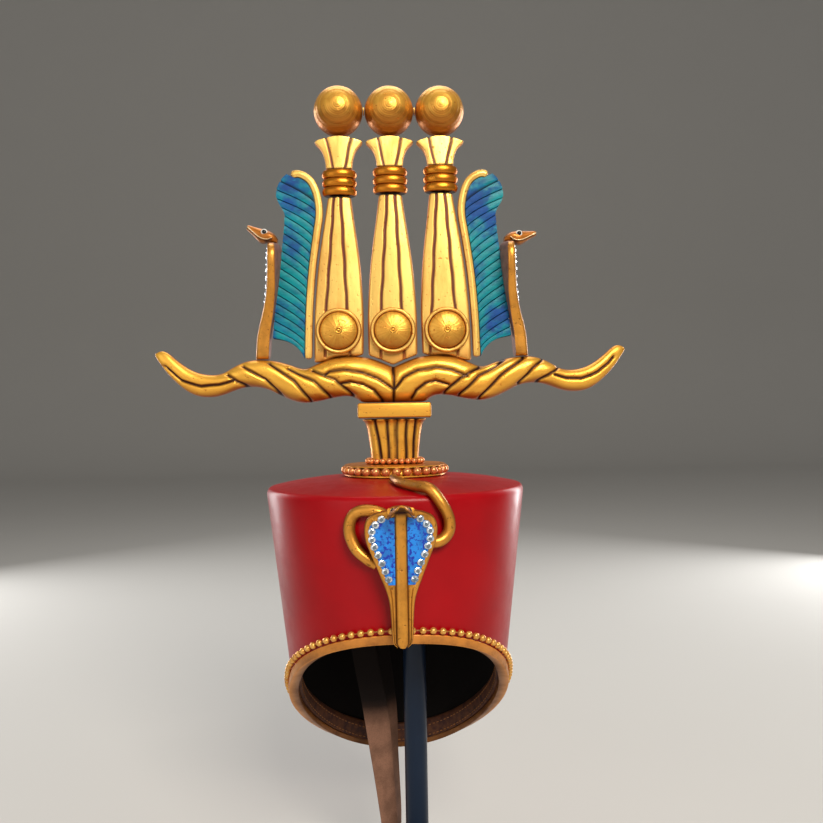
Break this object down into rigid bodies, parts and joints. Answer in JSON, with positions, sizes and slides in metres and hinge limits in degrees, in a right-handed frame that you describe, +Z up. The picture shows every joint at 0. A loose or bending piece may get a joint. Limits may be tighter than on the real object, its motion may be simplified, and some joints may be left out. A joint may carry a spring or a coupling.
{
  "type": "pharaoh headdress on a display stand",
  "caption": "Tall crimson costume cap with rearing cobras, twisted horns, feathers and golden columns topped by balls, held up by a plain round-footed pole.",
  "frame": {"origin": "on the underside of the stand's foot, straight below the middle axis of the cap", "axes": "+Z up, -Y towards the front of the headdress, +X to the right as seen from the front"},
  "size_m": [0.3652, 0.2323, 0.6352],
  "materials": {
    "stand": "satin dark blue paint",
    "cap": "smooth polished crimson",
    "trim": "golden brown, rubbed along its edges",
    "sweatband": "dark brown, stitched",
    "brim_beads": "polished",
    "copper_beads": "polished coppery",
    "gold": "satin gilt",
    "pale_gold": "pale satin gilt",
    "bright_gold": "turned and polished",
    "copper": "coppery gold",
    "feather": "turquoise and blue enamel with dark barbs",
    "cobra": "aged golden bronze",
    "inlay": "mottled blue enamel",
    "stones": "clear cut glass with foil behind",
    "ties": "soft tan"
  },
  "bodies": {
    "root": {"stand_foot": "stand", "stand_pole": "stand", "cap_shell": "cap", "brim_trim": "trim", "sweatband": "sweatband", "brim_beads": "brim_beads", "plaque": "gold", "plaque_beads": "copper_beads", "stem": "gold", "stem_beads": "copper_beads", "stem_block": "gold", "horns": "gold", "bottle_left": "pale_gold", "disc_rim_left": "pale_gold", "disc_dome_left": "bright_gold", "collar_left": "copper", "flare_left": "pale_gold", "ball_left": "bright_gold", "bottle_centre": "pale_gold", "disc_rim_centre": "pale_gold", "disc_dome_centre": "bright_gold", "collar_centre": "copper", "flare_centre": "pale_gold", "ball_centre": "bright_gold", "bottle_right": "pale_gold", "disc_rim_right": "pale_gold", "disc_dome_right": "bright_gold", "collar_right": "copper", "flare_right": "pale_gold", "ball_right": "bright_gold", "quill_left": "pale_gold", "feather_left": "feather", "ball_joint_left": "bright_gold", "left_cobra_hood": "cobra", "left_cobra_head": "cobra", "left_cobra_inlay_a": "inlay", "left_cobra_stones_a": "stones", "left_cobra_inlay_b": "inlay", "left_cobra_stones_b": "stones", "quill_right": "pale_gold", "feather_right": "feather", "ball_joint_right": "bright_gold", "right_cobra_hood": "cobra", "right_cobra_head": "cobra", "right_cobra_inlay_a": "inlay", "right_cobra_stones_a": "stones", "right_cobra_inlay_b": "inlay", "right_cobra_stones_b": "stones", "front_cobra_hood": "cobra", "front_cobra_head": "cobra", "front_cobra_inlay_a": "inlay", "front_cobra_stones_a": "stones", "front_cobra_inlay_b": "inlay", "front_cobra_stones_b": "stones", "cobra_tail": "cobra", "tie_front": "ties", "tie_back": "ties"}
  },
  "joints": []
}
